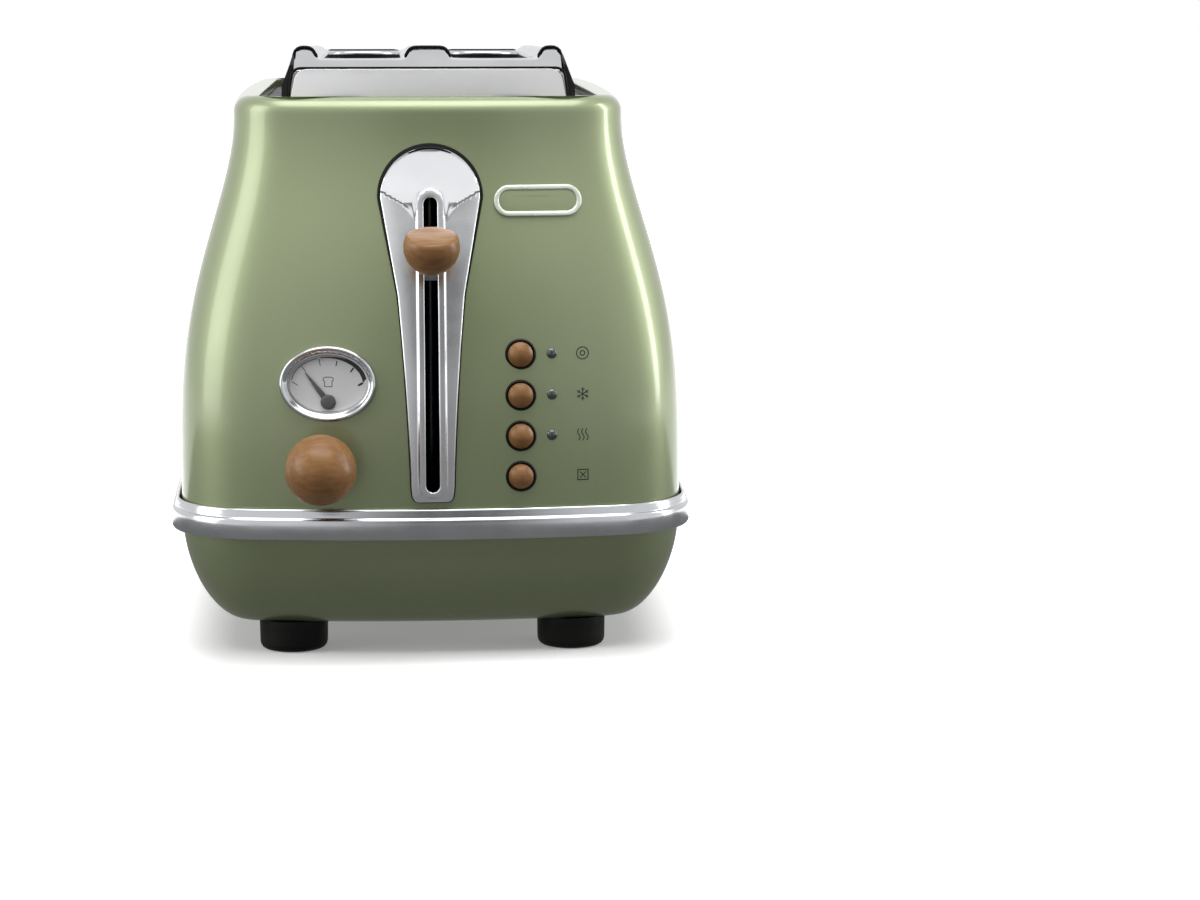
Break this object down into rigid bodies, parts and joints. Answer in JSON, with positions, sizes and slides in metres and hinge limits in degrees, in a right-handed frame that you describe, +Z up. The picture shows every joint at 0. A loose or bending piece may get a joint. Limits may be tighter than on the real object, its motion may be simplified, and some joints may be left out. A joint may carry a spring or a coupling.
{
  "type": "toaster",
  "caption": "Two-slice toaster with a flared enamelled casing, chrome band and cover, oval browning gauge, wooden lever knob, ball knob and push buttons.",
  "frame": {"origin": "on the table at the middle of the whole toaster's outline", "axes": "+Z up, the front with the lever and knobs faces -Y, +X to the right as seen from the front"},
  "size_m": [0.2, 0.3082, 0.227],
  "materials": {
    "shell_paint": "pearl olive green enamel, glossy",
    "tub_paint": "painted olive green, glossy",
    "chrome": "polished",
    "rubber": "matt",
    "black_plastic": "satin",
    "wood": "satin stained beech",
    "steel": "zinc plated sheet",
    "bright_steel": "bright wire and rod",
    "tray_metal": "satin",
    "mica": "flaky mica sheet",
    "heating_wire": "oxidised ribbon",
    "board": "printed board",
    "dial_white": "silver-white printed plate",
    "needle_grey": "dark grey",
    "clear_lens": "clear",
    "lamp_lens": "frosted pale blue",
    "belt_rubber": "matt"
  },
  "bodies": {
    "root": {"outer_shell": "shell_paint", "trim_band": "chrome", "base_tub": "tub_paint", "screws": "steel", "lever_plate": "chrome", "lever_gasket": "black_plastic", "slot_liner": "black_plastic", "lift_spring": "steel", "guide_rod": "bright_steel", "guide_brackets": "steel", "front_plate": "steel", "rear_plate": "steel", "reflectors": "steel", "heater_boards": "mica", "heating_ribbons": "heating_wire", "electromagnet": "heating_wire", "control_board": "board", "board_standoffs": "black_plastic", "push_switches": "black_plastic", "button_rings": "black_plastic", "indicator_lenses": "lamp_lens", "badge_plate": "chrome", "gauge_bezel": "chrome", "gauge_housing": "black_plastic", "gauge_face": "dial_white", "gauge_lens": "clear_lens", "needle_belt": "belt_rubber", "potentiometer": "steel", "knob_collar": "black_plastic", "top_cover": "chrome", "front_fascia": "chrome", "rear_fascia": "chrome", "top_collar": "black_plastic", "tray_runners": "black_plastic", "cord_grommet": "rubber", "terminal_block": "black_plastic", "front_left_foot": "rubber", "front_right_foot": "rubber", "rear_left_foot": "rubber", "rear_right_foot": "rubber"},
    "lever": {"lever_knob": "wood", "lever_arm": "steel", "carriage": "steel", "left_bread_lifter": "steel", "right_bread_lifter": "steel"},
    "knob": {"browning_knob": "wood", "knob_shaft": "steel"},
    "needle": {"gauge_needle": "needle_grey", "needle_pulley": "black_plastic"},
    "bagel": {"bagel_button": "wood"},
    "defrost": {"defrost_button": "wood"},
    "reheat": {"reheat_button": "wood"},
    "cancel": {"cancel_button": "wood"},
    "tray": {"crumb_tray": "tray_metal", "crumb_tray_panel": "tub_paint"},
    "right_outer_guard": {"right_outer_guard": "bright_steel"},
    "right_inner_guard": {"right_inner_guard": "bright_steel"},
    "left_outer_guard": {"left_outer_guard": "bright_steel"},
    "left_inner_guard": {"left_inner_guard": "bright_steel"}
  },
  "joints": [
    {"name": "lever_slide", "type": "slide", "parent": "root", "child": "lever", "axis": [0, 0, 1], "range_m": [-0.082, 0.01], "stiffness_N_per_m": 60, "springref_m": 0.021, "deforming": ["lift_spring"]},
    {"name": "browning_turn", "type": "hinge", "parent": "root", "child": "knob", "pos_m": [-0.03943, -0.12735, 0.07411], "axis": [0.0942, 0.9924, -0.0787], "range_deg": [-32, 238]},
    {"name": "needle_turn", "type": "hinge", "parent": "root", "child": "needle", "pos_m": [-0.03805, -0.12558, 0.09802], "axis": [0.0942, 0.9924, -0.0787], "range_deg": [-13, 90]},
    {"name": "bagel_press", "type": "slide", "parent": "root", "child": "bagel", "axis": [0, 1, 0], "range_m": [0, 0.0025], "stiffness_N_per_m": 300},
    {"name": "defrost_press", "type": "slide", "parent": "root", "child": "defrost", "axis": [0, 1, 0], "range_m": [0, 0.0025], "stiffness_N_per_m": 300},
    {"name": "reheat_press", "type": "slide", "parent": "root", "child": "reheat", "axis": [0, 1, 0], "range_m": [0, 0.0025], "stiffness_N_per_m": 300},
    {"name": "cancel_press", "type": "slide", "parent": "root", "child": "cancel", "axis": [0, 1, 0], "range_m": [0, 0.0025], "stiffness_N_per_m": 300},
    {"name": "crumb_tray_slide", "type": "slide", "parent": "root", "child": "tray", "axis": [0, 1, 0], "range_m": [0, 0.2]},
    {"name": "right_outer_guard_swing", "type": "hinge", "parent": "root", "child": "right_outer_guard", "pos_m": [0.0385, 0.00009, 0.054], "axis": [0, 1, 0], "range_deg": [-3.7, 0.6]},
    {"name": "right_inner_guard_swing", "type": "hinge", "parent": "root", "child": "right_inner_guard", "pos_m": [0.0115, 0.00009, 0.054], "axis": [0, 1, 0], "range_deg": [-0.6, 3.7]},
    {"name": "left_outer_guard_swing", "type": "hinge", "parent": "root", "child": "left_outer_guard", "pos_m": [-0.0385, 0.00009, 0.054], "axis": [0, 1, 0], "range_deg": [-0.6, 3.7]},
    {"name": "left_inner_guard_swing", "type": "hinge", "parent": "root", "child": "left_inner_guard", "pos_m": [-0.0115, 0.00009, 0.054], "axis": [0, 1, 0], "range_deg": [-3.7, 0.6]}
  ],
  "couplings": [
    {"joint": "needle_turn", "follows": "browning_turn", "ratio": 0.37037},
    {"joint": "right_outer_guard_swing", "follows": "lever_slide", "rad_per_m": 0.74496},
    {"joint": "right_inner_guard_swing", "follows": "lever_slide", "rad_per_m": -0.74496},
    {"joint": "left_outer_guard_swing", "follows": "lever_slide", "rad_per_m": -0.74496},
    {"joint": "left_inner_guard_swing", "follows": "lever_slide", "rad_per_m": 0.74496}
  ]
}
